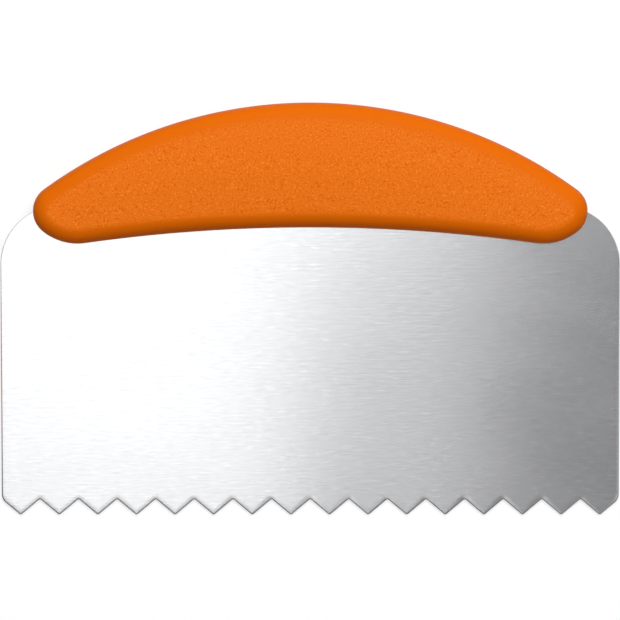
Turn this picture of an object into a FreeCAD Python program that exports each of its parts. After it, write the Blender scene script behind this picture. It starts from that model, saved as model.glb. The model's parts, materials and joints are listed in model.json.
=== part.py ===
# Cake comb: a stainless sheet with a toothed lower edge, its top edge moulded into a grip.
# It lies on its back: +X runs along the grip, +Y from the teeth to the grip, +Z up.
# The origin is under the middle of the whole comb, on the surface that it lies on.
import FreeCAD, Part
import math
import os

# Blade sizes
blade_width = 223.6
blade_thickness = 1.0
free_height = 104.3
tang_depth = 8.0
top_corner_radius = 21.5
foot_corner_radius = 4.0
edge_break = 0.3

# Tooth sizes
tooth_count = 16
tooth_depth = 5.9
tooth_point_radius = 0.8
outer_tooth_inset = 6.8

# Grip sizes
handle_length = 200.0
handle_height = 45.0
handle_thickness = 16.0
end_rise = 5.8
end_radius = 10.0
heel_radius = 15.5
heel_turn = 40.0
rim_radius = 6.5

# Anchor sizes: holes in the hidden tang that the grip is moulded through
anchor_count = 6
anchor_diameter = 4.0
anchor_end_inset = 30.0

# Smallest flat that a worked edge leaves on each side of the middle plane
least_land = 0.1

# Blade values worked out from the sizes
half_width = blade_width / 2
blade_height = free_height + tang_depth
tooth_pitch = (blade_width - 2 * outer_tooth_inset) / (tooth_count - 1)
flank_slope = tooth_depth / (tooth_pitch / 2)
blade_break = min(edge_break, blade_thickness / 2 - least_land)

# Grip values worked out from the sizes
half_thickness = handle_thickness / 2
half_length = handle_length / 2
handle_top = free_height + handle_height
rim_round = min(rim_radius, half_thickness - least_land, end_radius - least_land)

flat_tolerance = 0.001
sideways = FreeCAD.Vector(1, 0, 0)
upwards = FreeCAD.Vector(0, 0, 1)


def on_circle(centre, radius, degrees):
    """The point of a circle in a direction, counted from +X towards +Y."""
    angle = math.radians(degrees)
    return centre + FreeCAD.Vector(radius * math.cos(angle), radius * math.sin(angle), 0)


def arc(centre, radius, start, end):
    """A circular edge between two directions, in degrees."""
    places = [on_circle(centre, radius, turn) for turn in (start, (start + end) / 2, end)]
    return Part.Arc(*places).toShape()


def rounded_outline(corners):
    """A closed wire through (x, y, radius) corners, each rounded by an arc tangent to its sides."""
    points = [FreeCAD.Vector(x, y, 0) for x, y, radius in corners]
    arcs = []
    for place, (x, y, radius) in enumerate(corners):
        point = points[place]
        before = (points[place - 1] - point).normalize()
        after = (points[(place + 1) % len(points)] - point).normalize()
        half_angle = before.getAngle(after) / 2
        reach = radius / math.tan(half_angle)
        middle = (before + after).normalize() * (radius / math.sin(half_angle) - radius)
        arcs.append(Part.Arc(point + before * reach, point + middle, point + after * reach).toShape())
    sides = []
    for place, rounding in enumerate(arcs):
        start = arcs[place - 1].lastVertex().Point
        end = rounding.firstVertex().Point
        sides.append(Part.LineSegment(start, end).toShape())
    return Part.Wire(Part.__sortEdges__(arcs + sides))


def plate(outline, thickness):
    """A flat plate with its middle plane at height 0."""
    body = Part.Face(outline).extrude(upwards * thickness)
    body.translate(upwards * (-thickness / 2))
    return body


def face_edges(body):
    """Every edge around the front face and the back face of a plate."""
    return [edge for edge in body.Edges if edge.BoundBox.ZLength < flat_tolerance]


def blade_corners():
    """The blade's corners, from the top right corner round to the top left one."""
    foot_height = outer_tooth_inset * flank_slope
    corners = [(half_width, blade_height, top_corner_radius)]
    corners.append((half_width, foot_height, foot_corner_radius))
    for tooth in range(tooth_count):
        tip = half_width - outer_tooth_inset - tooth * tooth_pitch
        if tooth > 0:
            corners.append((tip + tooth_pitch / 2, tooth_depth, tooth_point_radius))
        corners.append((tip, 0.0, tooth_point_radius))
    corners.append((-half_width, foot_height, foot_corner_radius))
    corners.append((-half_width, blade_height, top_corner_radius))
    return corners


def anchor_places():
    """The X places of the anchor holes, spread evenly between the ends of the grip."""
    outer = half_length - anchor_end_inset
    return [outer * (2 * place / (anchor_count - 1) - 1) for place in range(anchor_count)]


def make_blade():
    """The toothed sheet with its hidden tang and the anchor holes."""
    sheet = plate(rounded_outline(blade_corners()), blade_thickness)
    blade = sheet.makeChamfer(blade_break, face_edges(sheet))
    hole_height = free_height + tang_depth / 2
    for place in anchor_places():
        foot = FreeCAD.Vector(place, hole_height, -blade_thickness)
        blade = blade.cut(Part.makeCylinder(anchor_diameter / 2, 2 * blade_thickness, foot, upwards))
    return blade


def tangent_radius(centre, radius, depth):
    """The radius of an arc that is level where it crosses X 0 and tangent to a given circle.

    The depth is how far the arc's middle lies beyond the circle's centre, away from its own centre.
    """
    return (centre.x ** 2 + depth ** 2 - radius ** 2) / (2 * abs(depth - radius))


# Centres of the grip's arcs: the end, the heel, the arched back and the hollow underside
end_centre = FreeCAD.Vector(half_length - end_radius, free_height + end_rise, 0)
heel_centre = on_circle(end_centre, end_radius - heel_radius, -heel_turn)
arch_radius = tangent_radius(end_centre, end_radius, handle_top - end_centre.y)
arch_centre = FreeCAD.Vector(0, handle_top - arch_radius, 0)
hollow_radius = tangent_radius(heel_centre, heel_radius, heel_centre.y - free_height)
hollow_centre = FreeCAD.Vector(0, free_height - hollow_radius, 0)

# Directions in which one arc hands over to the next
shoulder = math.degrees(math.atan2(end_centre.y - arch_centre.y, end_centre.x))
toe = math.degrees(math.atan2(hollow_centre.y - heel_centre.y, -heel_centre.x))


def handle_outline():
    """The grip's outline: six arcs, each tangent to its neighbours, mirrored about the middle."""
    right = [arc(end_centre, end_radius, shoulder, -heel_turn), arc(heel_centre, heel_radius, -heel_turn, toe)]
    left = [edge.mirror(FreeCAD.Vector(), sideways) for edge in right]
    back = arc(arch_centre, arch_radius, shoulder, 180 - shoulder)
    hollow = arc(hollow_centre, hollow_radius, 180 + toe, -toe)
    return Part.Wire(Part.__sortEdges__([back, hollow] + right + left))


def make_handle(blade):
    """The moulded grip, filled round the tang and through its anchor holes."""
    slab = plate(handle_outline(), handle_thickness)
    return slab.makeFillet(rim_round, face_edges(slab)).cut(blade)


def rest_angle():
    """The tilt, in degrees, at which the teeth and the grip's two heels touch one plane.

    The plane passes through the back corner of a tooth point and is tangent to the circle
    that the rim makes in the heel's section.
    """
    tooth_point = tooth_point_radius * (math.hypot(1, flank_slope) - 1)
    heel_low = heel_centre.y - heel_radius
    along = (heel_low + rim_round) - (tooth_point + blade_break)
    across = (half_thickness - rim_round) - blade_thickness / 2
    lean = math.asin(rim_round / math.hypot(along, across))
    return math.degrees(lean + math.atan2(across, along))


def lay_down(pieces):
    """Tilts the pieces to rest and puts the origin under the middle of their box."""
    for piece in pieces:
        piece.rotate(FreeCAD.Vector(), sideways, rest_angle())
    box = Part.makeCompound(pieces).optimalBoundingBox()
    for piece in pieces:
        piece.translate(FreeCAD.Vector(-box.Center.x, -box.Center.y, -box.ZMin))


blade = make_blade()
handle = make_handle(blade)
lay_down([blade, handle])

os.makedirs("parts", exist_ok=True)
blade.exportStep("parts/blade.step")
handle.exportStep("parts/handle.step")
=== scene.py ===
"""Cake comb: a toothed steel sheet whose upper edge is held in a moulded orange grip.

The comb lies on its back on a pale table. Each piece is first worked out in the comb's own
frame, in metres: x runs along the teeth, v from the tooth points to the grip and w out of the
front face, with w = 0 in the middle of the sheet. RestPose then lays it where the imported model
lies, so every finished object sits at the origin with its place in its mesh.
"""

import json
import logging
from dataclasses import dataclass
from enum import Enum

import bmesh
import bpy
import numpy as np
from mathutils import Matrix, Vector
from numpy.typing import NDArray


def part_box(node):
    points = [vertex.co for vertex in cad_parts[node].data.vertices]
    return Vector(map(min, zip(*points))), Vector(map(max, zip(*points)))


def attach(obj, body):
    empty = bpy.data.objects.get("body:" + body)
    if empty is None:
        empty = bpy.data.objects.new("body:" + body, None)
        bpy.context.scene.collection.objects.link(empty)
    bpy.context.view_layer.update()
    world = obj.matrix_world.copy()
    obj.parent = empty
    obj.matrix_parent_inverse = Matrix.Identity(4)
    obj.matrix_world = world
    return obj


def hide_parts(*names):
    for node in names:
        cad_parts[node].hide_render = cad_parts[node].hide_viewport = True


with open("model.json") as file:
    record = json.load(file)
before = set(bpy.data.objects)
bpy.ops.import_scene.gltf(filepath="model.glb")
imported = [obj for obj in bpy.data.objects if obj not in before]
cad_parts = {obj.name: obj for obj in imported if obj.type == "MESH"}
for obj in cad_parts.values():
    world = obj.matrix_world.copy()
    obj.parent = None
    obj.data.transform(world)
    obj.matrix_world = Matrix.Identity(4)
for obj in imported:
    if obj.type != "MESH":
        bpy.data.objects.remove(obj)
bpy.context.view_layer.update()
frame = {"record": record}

log = logging.getLogger("cake_comb")
Floats = NDArray[np.float64]
Colour = tuple[float, float, float]
Triple = tuple[float, float, float]

MM = 0.001
WELD = 1e-7
BODY = "root"

# The noise's middle level, and the power and gain that turn its swing into flecks
NOISE_MIDDLE = 0.5
FLECK_POWER = 3.0
FLECK_GAIN = 16.0

# Numbers of the colour sockets of a Mix node, whose names repeat for every data type
MIX_FIRST = 6
MIX_SECOND = 7
MIX_RESULT = 2


class Turn(Enum):
    """Which side of an arc the material lies on."""

    CONVEX = 1.0
    CONCAVE = -1.0


class Mask(Enum):
    """Names of the vertex attributes that the finishes read."""

    # Punched edges of the sheet: a duller cut, darkened far past that with painted shade along the cut wall
    DULL_EDGE_SHADE = "worked_edge"
    GRAINED_FACE = "grained_face"


def unit(vectors: Floats) -> Floats:
    """Each vector of the last axis divided by its length."""
    return vectors / np.linalg.norm(vectors, axis=-1, keepdims=True)


def heading(angles: Floats) -> Floats:
    """Unit vectors (cos a, sin a) for an array of angles in radians."""
    return np.stack([np.cos(angles), np.sin(angles)], axis=-1)


def smoothstep(values: Floats, low: float, high: float) -> Floats:
    """The curve 3t^2 - 2t^3, with t running from 0 at low to 1 at high."""
    t = np.clip((values - low) / (high - low), 0, 1)
    return t * t * (3 - 2 * t)


@dataclass(frozen=True)
class Arc:
    """One arc of an outline; its angles are the directions of the outward normal, in degrees."""

    centre: Floats
    radius: float
    turn: Turn
    start: float
    end: float
    samples: int


@dataclass(frozen=True)
class Outline:
    """A closed counter-clockwise outline of arcs joined by straight runs, sampled at m places.

    Every row holds the centre, radius and turn of the arc that the sample lies on, the normal
    out of the material there, and the mitre: the vector along which a sharp corner moves when
    both its sides move in by one unit.
    """

    centre: Floats
    radius: Floats
    turn: Floats
    normal: Floats
    mitre: Floats

    def inset(self, depth: Floats) -> Floats:
        """Moves the outline into the material by a depth at each sample.

        A convex arc of radius r keeps its centre and shrinks to r - depth. Once that is used up
        it is a sharp corner, which slides along its mitre. A concave arc grows to r + depth.

        Args:
            depth: distances into the material, of a shape that broadcasts against (m,).

        Returns:
            Points (x, v), of the broadcast shape + (2,).
        """
        convex = self.turn > 0
        reach = np.where(convex, np.maximum(self.radius - depth, 0), -(self.radius + depth))
        slide = np.where(convex, np.maximum(depth - self.radius, 0), 0)
        return self.centre + reach[..., None] * self.normal - slide[..., None] * self.mitre


def rounded_polygon(corners: Floats, radii: Floats, samples: int) -> Outline:
    """Rounds each corner of a counter-clockwise polygon with an arc tangent to both its sides.

    With a and b the outward normals of the two sides, the mitre is (a + b) / (1 + a.b), the
    centre lies one radius back along it, and the arc's normal turns evenly from a to b.

    Args:
        corners: sharp corners, shape (n, 2).
        radii: rounding radius of each corner, shape (n,).
        samples: samples on each arc, both ends included.

    Returns:
        The outline with n * samples samples.
    """
    leaving = unit(np.roll(corners, -1, axis=0) - corners)
    arriving = np.roll(leaving, 1, axis=0)
    out_before = np.stack([arriving[:, 1], -arriving[:, 0]], axis=-1)
    out_after = np.stack([leaving[:, 1], -leaving[:, 0]], axis=-1)
    cross = arriving[:, 0] * leaving[:, 1] - arriving[:, 1] * leaving[:, 0]
    angle = np.arctan2(cross, (arriving * leaving).sum(axis=-1))
    turn = np.sign(angle)
    mitre = (out_before + out_after) / (1 + (out_before * out_after).sum(axis=-1))[:, None]
    centre = corners - (turn * radii)[:, None] * mitre
    start = np.arctan2(out_before[:, 1], out_before[:, 0])
    normal = heading(start[:, None] + angle[:, None] * np.linspace(0, 1, samples))
    return Outline(
        np.repeat(centre, samples, axis=0),
        np.repeat(radii, samples),
        np.repeat(turn, samples),
        normal.reshape(-1, 2),
        np.repeat(mitre, samples, axis=0),
    )


def arc_chain(arcs: list[Arc]) -> Outline:
    """Joins arcs that are tangent to each other end to end; each leaves its last sample to the next.

    Args:
        arcs: the arcs, counter-clockwise round the outline.

    Returns:
        The outline. Its arcs are never used up by an inset, so its mitres are zero.
    """
    turns = [np.linspace(a.start, a.end, a.samples, endpoint=False) for a in arcs]
    normal = heading(np.radians(np.concatenate(turns)))
    counts = [a.samples for a in arcs]
    return Outline(
        np.repeat(np.array([a.centre for a in arcs]), counts, axis=0),
        np.repeat([a.radius for a in arcs], counts),
        np.repeat([a.turn.value for a in arcs], counts),
        normal,
        np.zeros_like(normal),
    )


@dataclass(frozen=True)
class RestPose:
    """How the comb lies: tilted about x by an angle, then shifted along y and z."""

    tilt: float
    shift_y: float
    shift_z: float

    @classmethod
    def resting(cls, points: Floats, tilt: float, low_y: float) -> "RestPose":
        """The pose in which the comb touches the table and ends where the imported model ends.

        Args:
            points: all points of the comb in its own frame, shape (n, 3).
            tilt: turn about x, in radians.
            low_y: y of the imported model's tooth points.

        Returns:
            The pose that puts the lowest point at z = 0 and the least y at low_y.
        """
        v, w = points[:, 1], points[:, 2]
        y = v * np.cos(tilt) - w * np.sin(tilt)
        z = v * np.sin(tilt) + w * np.cos(tilt)
        return cls(tilt, low_y - float(y.min()), -float(z.min()))

    def matrix(self) -> Matrix:
        """The pose as a 4 by 4 matrix."""
        return Matrix.Translation((0, self.shift_y, self.shift_z)) @ Matrix.Rotation(self.tilt, 4, "X")


def lifted(plan: Floats, height: Floats) -> Floats:
    """Plan points (..., 2) with a height w, broadcast to their shape, added as third value."""
    return np.concatenate([plan, np.broadcast_to(height, plan.shape[:-1])[..., None]], axis=-1)


def carried_section(name: str, rings: Floats, values: Floats, mask: Mask, crease: float,
                    caps: bool) -> bpy.types.Object:
    """A closed solid made of a section carried round an outline.

    Vertex (i, j) is the place where ring i, one point of the section, crosses sample j of the
    outline. Quads join neighbouring rings. Either the first and last rings are filled as flat
    caps, or both run together on a line along the middle. Places that coincide are welded. The
    UV map is (x + w, v + w): on the flat faces the surface itself in metres, and on no wall does
    it collapse.

    Args:
        name: the object's name.
        rings: points in the comb's own frame, shape (k, m, 3), from the front face to the back.
        values: the attribute's value at each vertex, shape (k, m).
        mask: the attribute to write.
        crease: edges that bend by more than this angle, in radians, stay sharp.
        caps: whether the first and last rings are filled.

    Returns:
        The new object, linked to the scene.
    """
    index = np.arange(rings.shape[0] * rings.shape[1]).reshape(rings.shape[:2])
    ahead = np.roll(index, -1, axis=1)
    faces = np.stack([index[:-1], index[1:], ahead[1:], ahead[:-1]], axis=-1).reshape(-1, 4).tolist()
    if caps:
        faces += [index[0].tolist(), index[-1][::-1].tolist()]
    mesh = bpy.data.meshes.new(name)
    mesh.from_pydata(rings.reshape(-1, 3), [], faces)
    mesh.attributes.new(mask.value, "FLOAT", "POINT").data.foreach_set("value", values.ravel())

    welded = bmesh.new()
    welded.from_mesh(mesh)
    bmesh.ops.remove_doubles(welded, verts=welded.verts, dist=WELD)
    bmesh.ops.dissolve_degenerate(welded, edges=welded.edges, dist=WELD)
    welded.to_mesh(mesh)
    welded.free()

    places = np.zeros(len(mesh.vertices) * 3)
    mesh.vertices.foreach_get("co", places)
    corners = np.zeros(len(mesh.loops), dtype=np.int32)
    mesh.loops.foreach_get("vertex_index", corners)
    x, v, w = places.reshape(-1, 3)[corners].T
    mesh.uv_layers.new(name="surface").data.foreach_set("uv", np.stack([x + w, v + w], axis=-1).ravel())
    mesh.shade_smooth()
    mesh.set_sharp_from_angle(angle=crease)

    piece = bpy.data.objects.new(name, mesh)
    bpy.context.scene.collection.objects.link(piece)
    return piece


@dataclass(frozen=True)
class BladeSheet:
    """The punched steel sheet: teeth below, rounded top corners, a plain tang inside the grip."""

    width: float
    free_height: float = 104.3 * MM
    tang_depth: float = 8.0 * MM
    thickness: float = 1.0 * MM
    top_corner: float = 21.5 * MM
    foot_corner: float = 4.0 * MM
    tooth_count: int = 16
    tooth_depth: float = 5.9 * MM
    tooth_point: float = 0.8 * MM
    outer_inset: float = 6.8 * MM
    edge_radius: float = 0.22 * MM
    roll_width: float = 2.0 * MM
    roll_depth: float = 0.065 * MM
    side_radius: float = 0.12 * MM
    # Share of the painted edge shade left on the plain sides, and the band it fills in from the outline
    side_edge_shade: float = 0.03
    dull_shade_width: float = 0.154 * MM
    dull_shade_end: float = 0.352 * MM
    guard_width: float = 0.3 * MM
    arc_samples: int = 17
    roll_steps: int = 7
    edge_steps: int = 6
    crease: float = np.radians(40)

    @property
    def height(self) -> float:
        """From the sharp tooth points to the hidden top edge."""
        return self.free_height + self.tang_depth

    def outline(self) -> Outline:
        """The punched outline.

        Sharp corners alternate between v = 0 at the tooth points and v = tooth_depth at the
        roots, every half pitch. The outer flanks run on until they meet the sides.

        Returns:
            The outline, counter-clockwise from the top left corner.
        """
        half = self.width / 2
        first = self.outer_inset - half
        zigzag = np.linspace(first, -first, 2 * self.tooth_count - 1)
        levels = np.where(np.arange(len(zigzag)) % 2 == 0, 0.0, self.tooth_depth)
        foot = self.tooth_depth * self.outer_inset / (zigzag[1] - zigzag[0])
        teeth = np.stack([zigzag, levels], axis=-1)
        left = [(-half, self.height), (-half, foot)]
        right = [(half, foot), (half, self.height)]
        ends = [self.top_corner, self.foot_corner]
        radii = np.concatenate([ends, np.full(len(teeth), self.tooth_point), ends[::-1]])
        return rounded_polygon(np.concatenate([left, teeth, right]), radii, self.arc_samples)

    def section(self, roll_depth: float, radius: float) -> Floats:
        """The sheet's section, from the front face round the edge to the back face.

        The front falls as roll_depth * (1 - d / roll_width)^2 towards the punched edge, a quarter
        circle carries that slope on to the wall, and another leads from the wall to the back.

        Args:
            roll_depth: how far the front falls before the edge starts to round.
            radius: radius of both roundings.

        Returns:
            Depth from the outline and height w of each ring, shape (2, k).
        """
        half = self.thickness / 2
        lean = np.arctan(2 * roll_depth / self.roll_width * (1 - radius / self.roll_width))
        roll = np.linspace(self.roll_width, radius * (1 - np.sin(lean)), self.roll_steps)
        fall = half - roll_depth * (1 - roll / self.roll_width) ** 2
        front = np.linspace(lean, np.pi / 2, self.edge_steps)[1:]
        back = np.linspace(np.pi / 2, 0, self.edge_steps)
        centre = fall[-1] - radius * np.cos(lean)
        return np.array([
            np.concatenate([
                [self.roll_width + self.guard_width],
                roll,
                radius * (1 - np.sin(front)),
                radius * (1 - np.sin(back)),
                [radius + self.guard_width],
            ]),
            np.concatenate([
                [half],
                fall,
                centre + radius * np.cos(front),
                radius - half - radius * np.cos(back),
                [-half],
            ]),
        ])

    def rings(self) -> tuple[Floats, Floats]:
        """The sheet's surface.

        Only the toothed edge is rolled down by the punch. Above the teeth the section turns
        smoothly into the plain sides' one, which is rounded less.

        Returns:
            The rings, shape (k, m, 3), and the edge mask of each vertex, shape (k, m).
        """
        outline = self.outline()
        level = outline.inset(np.array(0.0))[:, 1]
        toothed = 1 - smoothstep(level, self.tooth_depth, 2 * self.tooth_depth)
        plain = self.section(0.0, self.side_radius)[..., None]
        punched = self.section(self.roll_depth, self.edge_radius)[..., None]
        depth, height = plain + toothed * (punched - plain)
        # Painted shade: a band along the punched edge that the steel's finish darkens near black, full on
        # the teeth and only a trace on the sides
        edge = 1 - smoothstep(depth, self.dull_shade_width, self.dull_shade_end)
        edge_shade_share = self.side_edge_shade + (1 - self.side_edge_shade) * toothed
        return lifted(outline.inset(depth), height), edge * edge_shade_share

    def build(self) -> bpy.types.Object:
        """The sheet as one closed solid in the comb's own frame."""
        return carried_section("toothed_blade", *self.rings(), Mask.DULL_EDGE_SHADE, self.crease, caps=True)

    def top_edge(self, x: Floats) -> Floats:
        """Height v of the tang's upper edge: level, then a quarter circle down each top corner."""
        past = np.clip(np.abs(x) - (self.width / 2 - self.top_corner), 0, self.top_corner)
        return self.height - self.top_corner + np.sqrt(self.top_corner ** 2 - past ** 2)


@dataclass(frozen=True)
class MouldedGrip:
    """The plastic grip: arched back, rounded ends and heels, hollow underside, slot for the sheet."""

    length: float
    blade: BladeSheet
    height: float = 45.0 * MM
    thickness: float = 16.0 * MM
    end_rise: float = 6.0 * MM
    end_radius: float = 9.6 * MM
    heel_radius: float = 20.0 * MM
    heel_turn: float = 51.5
    rim_width: float = 6.1 * MM
    rim_fall: float = 5.2 * MM
    rim_end: float = np.radians(82)
    draft_width: float = 0.42 * MM
    crown_curvature: float = 6.0
    seat_gap: float = 0.01 * MM
    seam_width: float = 0.3 * MM
    seam_height: float = 0.05 * MM
    grain_start: float = 3.8 * MM
    grain_full: float = 7.0 * MM
    long_samples: int = 120
    heel_samples: int = 20
    end_samples: int = 36
    rim_steps: int = 22
    face_steps: int = 8
    crease: float = np.radians(40)

    @property
    def end(self) -> Floats:
        """Centre of the right end circle."""
        return np.array([self.length / 2 - self.end_radius, self.blade.free_height + self.end_rise])

    def outline(self) -> Outline:
        """Six arcs, each tangent to its neighbours.

        The end circle and the heel circle touch inside each other where the normal points
        heel_turn below level. An arc that is level at x = 0 and passes a circle (x, depth,
        radius) tangentially has the radius (x^2 + depth^2 - radius^2) / (2 |depth - radius|).

        Returns:
            The outline, counter-clockwise from the left heel.
        """
        low = self.blade.free_height
        top = low + self.height
        heel = self.end + (self.end_radius - self.heel_radius) * heading(np.radians(-self.heel_turn))
        rise = heel[1] - low
        drop = top - self.end[1]
        hollow_radius = (heel[0] ** 2 + rise ** 2 - self.heel_radius ** 2) / (2 * (self.heel_radius - rise))
        arch_radius = (self.end[0] ** 2 + drop ** 2 - self.end_radius ** 2) / (2 * (drop - self.end_radius))
        hollow = np.array([0, low - hollow_radius])
        arch = np.array([0, top - arch_radius])
        shoulder = np.degrees(np.arctan2(self.end[1] - arch[1], self.end[0]))
        toe = np.degrees(np.arctan2(hollow[1] - heel[1], -heel[0]))
        flip = np.array([-1, 1])
        left_end, left_heel = self.end * flip, heel * flip
        joint = self.heel_turn
        return arc_chain([
            Arc(hollow, hollow_radius, Turn.CONCAVE, -180 - toe, toe, self.long_samples),
            Arc(heel, self.heel_radius, Turn.CONVEX, toe, -joint, self.heel_samples),
            Arc(self.end, self.end_radius, Turn.CONVEX, -joint, shoulder, self.end_samples),
            Arc(arch, arch_radius, Turn.CONVEX, shoulder, 180 - shoulder, self.long_samples),
            Arc(left_end, self.end_radius, Turn.CONVEX, 180 - shoulder, 180 + joint, self.end_samples),
            Arc(left_heel, self.heel_radius, Turn.CONVEX, 180 + joint, 180 - toe, self.heel_samples),
        ])

    def spine(self) -> Floats:
        """For each sample of the outline, the point of the face's middle line that it runs to.

        The middle line is a parabola between the end circles' centres. The hollow's samples and
        the arch's are spread alike along it, and all others run to its ends.

        Returns:
            Points (x, v), shape (m, 2).
        """
        along = np.arange(self.long_samples) / self.long_samples * 2 - 1
        turned = np.ones(self.heel_samples + self.end_samples)
        share = np.concatenate([along, turned, -along, -turned])
        middle = self.blade.free_height + self.height / 2
        return np.stack([share * self.end[0], middle - (middle - self.end[1]) * share ** 2], axis=-1)

    def side(self, outline: Outline, curvature: float) -> tuple[Floats, Floats]:
        """The front half of the grip, from its middle line to the slot.

        The face falls from the middle line by curvature * distance^2 / 2. The rim goes on from
        its slope as an ellipse, depth = a (1 - sin t), fall = b (1 - cos t), to t = rim_end, and
        a drafted wall leads down to the slot's mouth.

        Args:
            outline: the grip's outline.
            curvature: the face's curvature across the grip, per metre.

        Returns:
            The rings, shape (k, m, 3), and the grain mask of each vertex, shape (k, m).
        """
        spine = self.spine()
        foot = self.draft_width + self.seam_height
        width = np.linalg.norm(outline.inset(np.array(foot + self.rim_width)) - spine, axis=-1)
        start = np.arctan(curvature * width * self.rim_width / self.rim_fall)
        turn = start + (self.rim_end - start) * np.linspace(0, 1, self.rim_steps)[:, None]
        depth = foot + self.rim_width * (1 - np.sin(turn))
        border = outline.inset(depth[0])
        reach = np.linalg.norm(border - spine, axis=-1)

        share = np.linspace(0, 1, self.face_steps, endpoint=False)[:, None]
        fall = curvature / 2 * (share * reach) ** 2
        face = lifted(spine + share[..., None] * (border - spine), self.thickness / 2 - fall)
        edge = self.thickness / 2 - curvature / 2 * reach ** 2
        rim = lifted(outline.inset(depth), edge - self.rim_fall * (np.cos(start) - np.cos(turn)))
        wall = outline.inset(np.full((1, 1), self.seam_height))
        mouth = lifted(wall, self.blade.thickness / 2 + self.seat_gap)
        deep = np.concatenate([depth[0] + (1 - share) * reach, depth, np.zeros_like(depth[:1])])
        return np.concatenate([face, rim, mouth]), smoothstep(deep, self.grain_start, self.grain_full)

    def slot(self, outline: Outline) -> Floats:
        """The rings inside the slot, from its front mouth to its back mouth.

        Wherever the sheet comes out below the tang's upper edge, the wall goes straight up in v
        to that edge. Elsewhere it goes straight across and carries the mould's seam.

        Args:
            outline: the grip's outline.

        Returns:
            The rings, shape (5, m, 3).
        """
        wall = outline.inset(np.array(self.seam_height))
        floor = wall.copy()
        floor[:, 1] = np.maximum(wall[:, 1], self.blade.top_edge(wall[:, 0]))
        closed = floor[:, 1] <= wall[:, 1]
        ridge = floor + np.where(closed, self.seam_height, 0)[:, None] * outline.normal
        mouth = self.blade.thickness / 2 + self.seat_gap
        seam = self.seam_width / 2
        section = [(floor, mouth), (floor, seam), (ridge, 0.0), (floor, -seam), (floor, -mouth)]
        return np.stack([lifted(place, np.array(height)) for place, height in section])

    def rings(self) -> tuple[Floats, Floats]:
        """The grip's surface, with a crowned front face and a flat back face.

        Returns:
            The rings, shape (k, m, 3), and the grain mask of each vertex, shape (k, m).
        """
        outline = self.outline()
        front, front_grain = self.side(outline, self.crown_curvature)
        back, back_grain = self.side(outline, 0.0)
        slot = self.slot(outline)
        rings = np.concatenate([front, slot, back[::-1] * np.array([1, 1, -1])])
        return rings, np.concatenate([front_grain, np.zeros(slot.shape[:2]), back_grain[::-1]])

    def build(self) -> bpy.types.Object:
        """The grip as one closed solid in the comb's own frame."""
        return carried_section("moulded_grip", *self.rings(), Mask.GRAINED_FACE, self.crease, caps=False)


class Graph:
    """Adds nodes to a node tree and wires each one as it is made."""

    def __init__(self, tree: bpy.types.NodeTree) -> None:
        """Starts on an empty tree."""
        self.tree = tree
        self.tree.nodes.clear()

    def add(self, kind: str, wires: dict[str | int, object] | None = None,
            **settings: object) -> bpy.types.Node:
        """Adds a node.

        Args:
            kind: the node's type name.
            wires: for each input, a socket to link from or a value to set.
            settings: properties of the node.

        Returns:
            The new node.
        """
        node = self.tree.nodes.new(kind)
        for key, value in settings.items():
            setattr(node, key, value)
        for key, value in (wires or {}).items():
            if isinstance(value, bpy.types.NodeSocket):
                self.tree.links.new(value, node.inputs[key])
            else:
                node.inputs[key].default_value = value
        return node

    def maths(self, operation: str, *values: object) -> bpy.types.NodeSocket:
        """The output of a Math node on up to three values or sockets."""
        return self.add("ShaderNodeMath", dict(enumerate(values)), operation=operation).outputs[0]

    def blend(self, amount: object, first: object, second: object) -> bpy.types.NodeSocket:
        """The colour that goes from first to second as amount goes from 0 to 1."""
        wires = {"Factor": amount, MIX_FIRST: first, MIX_SECOND: second}
        return self.add("ShaderNodeMix", wires, data_type="RGBA").outputs[MIX_RESULT]


def speckle_group() -> bpy.types.NodeTree:
    """A group of noise whose cells have a chosen size along each axis.

    The vector is divided by the cell size, so that one unit of the noise is one cell. Swing is
    the noise about its middle, from about -0.5 to 0.5. Flecks is FLECK_GAIN times a power of
    swing, calm but for its rare peaks.

    Returns:
        The shared node group.
    """
    tree = bpy.data.node_groups.new("speckle", "ShaderNodeTree")
    graph = Graph(tree)
    inputs = {"Vector": "NodeSocketVector", "Cell": "NodeSocketVector", "Detail": "NodeSocketFloat"}
    for name, kind in inputs.items():
        tree.interface.new_socket(name, in_out="INPUT", socket_type=kind)
    for name in ("Swing", "Flecks"):
        tree.interface.new_socket(name, in_out="OUTPUT", socket_type="NodeSocketFloat")
    inlet = graph.add("NodeGroupInput").outputs
    cells = graph.add("ShaderNodeVectorMath", {0: inlet["Vector"], 1: inlet["Cell"]}, operation="DIVIDE")
    noise = graph.add("ShaderNodeTexNoise", {
        "Vector": cells.outputs[0],
        "Scale": 1.0,
        "Detail": inlet["Detail"],
    })
    swing = graph.maths("SUBTRACT", noise.outputs["Fac"], NOISE_MIDDLE)
    flecks = graph.maths("MULTIPLY", graph.maths("POWER", swing, FLECK_POWER), FLECK_GAIN)
    graph.add("NodeGroupOutput", {"Swing": swing, "Flecks": flecks})
    return tree


def speckle(graph: Graph, group: bpy.types.NodeTree, vector: bpy.types.NodeSocket, cell: Triple,
            detail: float) -> bpy.types.Node:
    """Places the speckle group in a material.

    Args:
        graph: the material's graph.
        group: the shared group.
        vector: socket with the place on the piece, in metres.
        cell: cell size along each axis, in metres.
        detail: octaves of finer noise.

    Returns:
        The group node, with outputs Swing and Flecks.
    """
    node = graph.add("ShaderNodeGroup", node_tree=group)
    for name, value in {"Cell": cell, "Detail": detail}.items():
        node.inputs[name].default_value = value
    graph.tree.links.new(vector, node.inputs["Vector"])
    return node


def new_material(name: str) -> tuple[bpy.types.Material, Graph]:
    """Starts a material.

    Args:
        name: the material's name.

    Returns:
        The node material and the graph that fills it.
    """
    material = bpy.data.materials.new(name)
    material.use_nodes = True
    return material, Graph(material.node_tree)


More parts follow.
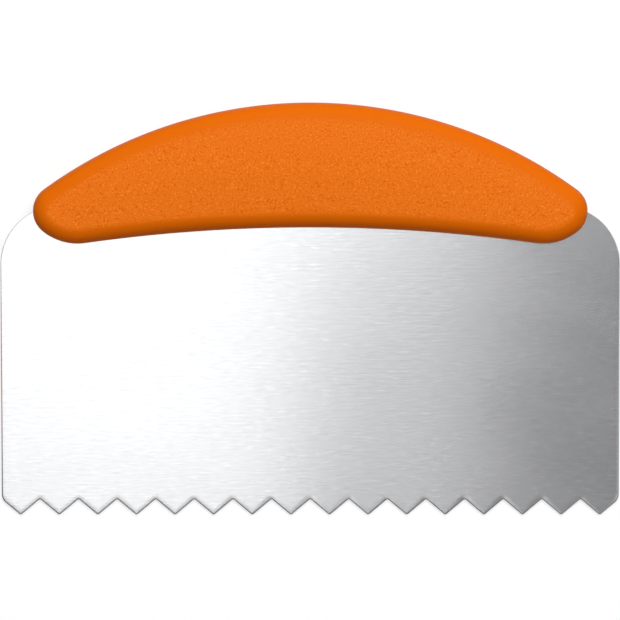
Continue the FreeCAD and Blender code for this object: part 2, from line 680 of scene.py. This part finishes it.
@dataclass(frozen=True)
class BrushedSteel:
    """Stainless sheet brushed along its length; its punched edges are duller and carry painted shade that
    darkens them near black.
    """

    tint: Colour = (0.686, 0.690, 0.704)
    # Near black: a duller cut edge with painted shade on top of it
    edge_shade_tint: Colour = (0.07, 0.07, 0.073)
    roughness: float = 0.18
    anisotropy: float = 0.55
    across_grain: float = 0.25
    hair_cell: Triple = (9.0 * MM, 0.9 * MM, 1.0)
    hair_octaves: float = 1.0
    hair_strength: float = 0.06
    dash_cell: Triple = (4.0 * MM, 0.7 * MM, 1.0)
    dash_octaves: float = 1.0
    dash_strength: float = 0.6
    dash_limit: float = 0.13
    cloud_cell: Triple = (60.0 * MM, 25.0 * MM, 1.0)
    cloud_octaves: float = 2.0
    cloud_strength: float = 0.05
    edge_roughness: float = 0.2
    groove_depth: float = 0.008 * MM

    def material(self, group: bpy.types.NodeTree) -> bpy.types.Material:
        """The finish as a material that follows the piece's surface map.

        Args:
            group: the shared speckle group.

        Returns:
            The material.
        """
        material, graph = new_material("brushed_steel_sheet")
        place = graph.add("ShaderNodeUVMap", uv_map="surface").outputs[0]
        hair = speckle(graph, group, place, self.hair_cell, self.hair_octaves)
        dash = speckle(graph, group, place, self.dash_cell, self.dash_octaves)
        cloud = speckle(graph, group, place, self.cloud_cell, self.cloud_octaves)
        edge = graph.add("ShaderNodeAttribute", attribute_name=Mask.DULL_EDGE_SHADE.value).outputs["Fac"]

        marks = graph.add("ShaderNodeClamp", {
            "Value": dash.outputs["Flecks"],
            "Min": -self.dash_limit / 2,
            "Max": self.dash_limit,
        }).outputs[0]
        dashes = graph.maths("MULTIPLY_ADD", marks, self.dash_strength, 1.0)
        level = graph.maths("MULTIPLY_ADD", hair.outputs["Swing"], self.hair_strength, dashes)
        sheet = graph.add("ShaderNodeVectorMath", {0: self.tint, "Scale": level}, operation="SCALE")
        # Painted shade: the edge mask turns the punched edges near black, darker than a duller cut would be
        colour = graph.blend(edge, sheet.outputs[0], (*self.edge_shade_tint, 1.0))
        drift = graph.maths("MULTIPLY_ADD", cloud.outputs["Swing"], self.cloud_strength, self.roughness)
        rough = graph.maths("MULTIPLY_ADD", edge, self.edge_roughness, drift)
        grooves = graph.maths("ADD", hair.outputs["Swing"], dash.outputs["Flecks"])
        bump = graph.add("ShaderNodeBump", {"Height": grooves, "Distance": self.groove_depth})
        tangent = graph.add("ShaderNodeTangent", direction_type="UV_MAP", uv_map="surface")
        shader = graph.add("ShaderNodeBsdfPrincipled", {
            "Base Color": colour,
            "Metallic": 1.0,
            "Roughness": rough,
            "Anisotropic": self.anisotropy,
            "Anisotropic Rotation": self.across_grain,
            "Tangent": tangent.outputs[0],
            "Normal": bump.outputs[0],
        })
        graph.add("ShaderNodeOutputMaterial", {"Surface": shader.outputs[0]})
        return material


@dataclass(frozen=True)
class GrainedPlastic:
    """Orange moulded plastic: spark-grained flat faces inside a smooth rim."""

    smooth_tint: Colour = (0.80, 0.148, 0.001)
    # The fleck colours vary the grain's tone at random, and paint in the shade and the whitish glints of
    # its relief; their mean gives the grained face a painted sheen that the smooth rim lacks
    grain_shade_dark: Colour = (0.76, 0.092, 0.001)
    grain_glint_light: Colour = (1.0, 0.277, 0.021)
    specular: float = 0.03
    grain_cell: Triple = (0.64 * MM, 0.64 * MM, 0.64 * MM)
    grain_octaves: float = 2.0
    grain_depth: float = 0.05 * MM
    grain_contrast: float = 5.0
    grain_middle: float = 0.5
    face_roughness: float = 0.6
    rim_roughness: float = 0.5

    def material(self, group: bpy.types.NodeTree) -> bpy.types.Material:
        """The finish as a material that reads the piece's grain mask.

        Args:
            group: the shared speckle group.

        Returns:
            The material.
        """
        material, graph = new_material("orange_grained_plastic")
        place = graph.add("ShaderNodeTexCoord").outputs["Object"]
        grain = speckle(graph, group, place, self.grain_cell, self.grain_octaves)
        face = graph.add("ShaderNodeAttribute", attribute_name=Mask.GRAINED_FACE.value).outputs["Fac"]

        # Painted shade and painted glints: the grain's flecks, dark and whitish, mixed by the speckle
        level = graph.maths("MULTIPLY_ADD", grain.outputs["Flecks"], self.grain_contrast, self.grain_middle)
        grained = graph.blend(level, (*self.grain_shade_dark, 1.0), (*self.grain_glint_light, 1.0))
        colour = graph.blend(face, (*self.smooth_tint, 1.0), grained)
        rough = graph.add("ShaderNodeMapRange", {
            "Value": face,
            "To Min": self.rim_roughness,
            "To Max": self.face_roughness,
        }).outputs[0]
        relief = graph.maths("MULTIPLY", grain.outputs["Swing"], face)
        bump = graph.add("ShaderNodeBump", {"Height": relief, "Distance": self.grain_depth})
        shader = graph.add("ShaderNodeBsdfPrincipled", {
            "Base Color": colour,
            "Roughness": rough,
            "Specular IOR Level": self.specular,
            "Normal": bump.outputs[0],
        })
        graph.add("ShaderNodeOutputMaterial", {"Surface": shader.outputs[0]})
        return material


@dataclass(frozen=True)
class PaleTable:
    """White matt table top, lifted to white for the camera and for reflections."""

    tint: Colour = (0.40, 0.40, 0.40)
    lift: float = 0.648

    def material(self) -> bpy.types.Material:
        """The finish as a material that keeps the object's shadow.

        Returns:
            The material.
        """
        material, graph = new_material("pale_table")
        path = graph.add("ShaderNodeLightPath").outputs
        seen = graph.maths("MAXIMUM", path["Is Camera Ray"],
                           graph.maths("MAXIMUM", path["Is Glossy Ray"], path["Is Transmission Ray"]))
        cloth = graph.add("ShaderNodeBsdfDiffuse", {"Color": (*self.tint, 1.0)})
        glow = graph.add("ShaderNodeEmission", {"Strength": graph.maths("MULTIPLY", seen, self.lift)})
        both = graph.add("ShaderNodeAddShader", {0: cloth.outputs[0], 1: glow.outputs[0]})
        graph.add("ShaderNodeOutputMaterial", {"Surface": both.outputs[0]})
        return material


@dataclass(frozen=True)
class SoftPanel:
    """A rectangular studio lamp that faces straight down and shines evenly from its whole face."""

    name: str
    place: Triple
    width: float
    depth: float
    turn: float
    radiance: float

    def switch_on(self) -> bpy.types.Object:
        """Adds the lamp; its power is pi times radiance times area.

        Returns:
            The lamp, linked to the scene.
        """
        light = bpy.data.lights.new(self.name, "AREA")
        light.shape = "RECTANGLE"
        light.size, light.size_y = self.width, self.depth
        light.energy = np.pi * self.radiance * self.width * self.depth
        lamp = bpy.data.objects.new(self.name, light)
        lamp.location = self.place
        lamp.rotation_euler = (0, 0, self.turn)
        lamp.visible_camera = False
        bpy.context.scene.collection.objects.link(lamp)
        return lamp


@dataclass(frozen=True)
class Studio:
    """The table, the lamps, the even surround and the camera that looks straight down."""

    table_size: float = 30.0
    surround: float = 0.205
    room: float = 0.65
    room_edge: float = 0.3
    room_height: float = 0.95
    camera_height: float = 1.282
    camera_x: float = -0.0001
    camera_y: float = -0.00035
    pixel: float = 0.36288 * MM
    photo_pixels: int = 620
    sensor: float = 36.0
    panels: tuple[SoftPanel, ...] = (
        SoftPanel("left_strip", (-0.239, -0.19, 2.0), 0.512, 0.86, -0.079, 1.43),
        SoftPanel("middle_strip", (0.102, -0.74, 2.0), 0.107, 1.495, -0.013, 0.65),
        SoftPanel("slanted_strip", (0.161, 0.434, 2.0), 0.182, 1.238, -0.143, 3.05),
        SoftPanel("right_fill", (0.72, 0.0, 2.0), 0.56, 1.9, 0.0, 0.58),
        SoftPanel("key_panel", (0.388, 1.544, 2.0), 2.29, 1.66, -0.57, 5.7),
    )

    def lay_table(self) -> bpy.types.Object:
        """Lays a wide flat table top at z = 0, kept out of the object.

        Returns:
            The table top.
        """
        half = self.table_size / 2
        mesh = bpy.data.meshes.new("table")
        corners = [(-half, -half, 0), (half, -half, 0), (half, half, 0), (-half, half, 0)]
        mesh.from_pydata(corners, [], [(0, 1, 2, 3)])
        mesh.materials.append(PaleTable().material())
        table = bpy.data.objects.new("table", mesh)
        bpy.context.scene.collection.objects.link(table)
        return table

    def light(self) -> None:
        """Switches on the soft panels in an even grey surround.

        Metal also sees a pale room. It is even up to room_edge, the sine of an elevation, and
        fades out from there to room_height. The camera sees the surround as bright as the far
        end of the table.
        """
        world = bpy.data.worlds.new("surround")
        bpy.context.scene.world = world
        world.use_nodes = True
        graph = Graph(world.node_tree)
        direction = graph.add("ShaderNodeTexCoord").outputs["Generated"]
        height = graph.add("ShaderNodeSeparateXYZ", {0: direction}).outputs["Z"]
        room = graph.add("ShaderNodeMapRange", {
            "Value": height,
            "From Min": self.room_edge,
            "From Max": self.room_height,
            "To Min": self.room,
            "To Max": 0.0,
        }).outputs[0]
        path = graph.add("ShaderNodeLightPath").outputs
        level = graph.maths("MULTIPLY_ADD", path["Is Glossy Ray"], room, self.surround)
        table = PaleTable()
        rise = table.lift - (1 - table.tint[0]) * self.surround
        seen = graph.maths("MULTIPLY_ADD", path["Is Camera Ray"], rise, level)
        sky = graph.add("ShaderNodeBackground", {"Color": (1.0, 1.0, 1.0, 1.0), "Strength": seen})
        graph.add("ShaderNodeOutputWorld", {"Surface": sky.outputs[0]})
        for panel in self.panels:
            panel.switch_on()

    def point_camera(self) -> bpy.types.Object:
        """Puts a long lens straight above the comb; its length follows from the width of a pixel.

        Returns:
            The camera, in use by the scene.
        """
        lens = bpy.data.cameras.new("camera")
        lens.sensor_width = self.sensor
        lens.lens = self.sensor * self.camera_height / (self.photo_pixels * self.pixel)
        camera = bpy.data.objects.new("camera", lens)
        camera.location = (self.camera_x, self.camera_y, self.camera_height)
        bpy.context.scene.collection.objects.link(camera)
        bpy.context.scene.camera = camera
        return camera


def seat(piece: bpy.types.Object, pose: RestPose, node: str,
         material: bpy.types.Material) -> None:
    """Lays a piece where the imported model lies, dresses it and puts it in its solid's stead.

    Args:
        piece: the piece in the comb's own frame.
        pose: how the comb lies.
        node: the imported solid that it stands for.
        material: its finish.
    """
    piece.data.transform(pose.matrix())
    piece.data.materials.append(material)
    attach(piece, BODY)
    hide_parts(node)
    log.info("%s: %d faces, stands for %s", piece.name, len(piece.data.polygons), node)


def main() -> None:
    """Builds the blade and the grip, then the studio round them."""
    logging.basicConfig(level=logging.INFO, format="%(name)s: %(message)s")
    blade_low, blade_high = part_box("blade")
    grip_low, grip_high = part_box("handle")
    blade = BladeSheet(width=blade_high.x - blade_low.x)
    grip = MouldedGrip(length=grip_high.x - grip_low.x, blade=blade)
    back_face = frame["record"]["mounts"][0]["axis"]
    tilt = float(np.arctan2(back_face[1], -back_face[2]))
    points = np.concatenate([piece.rings()[0].reshape(-1, 3) for piece in (blade, grip)])
    pose = RestPose.resting(points, tilt, blade_low.y)

    group = speckle_group()
    seat(blade.build(), pose, "blade", BrushedSteel().material(group))
    seat(grip.build(), pose, "handle", GrainedPlastic().material(group))

    studio = Studio()
    studio.lay_table()
    studio.light()
    studio.point_camera()
    bpy.context.scene.view_settings.view_transform = "Standard"


if __name__ == "__main__":
    main()
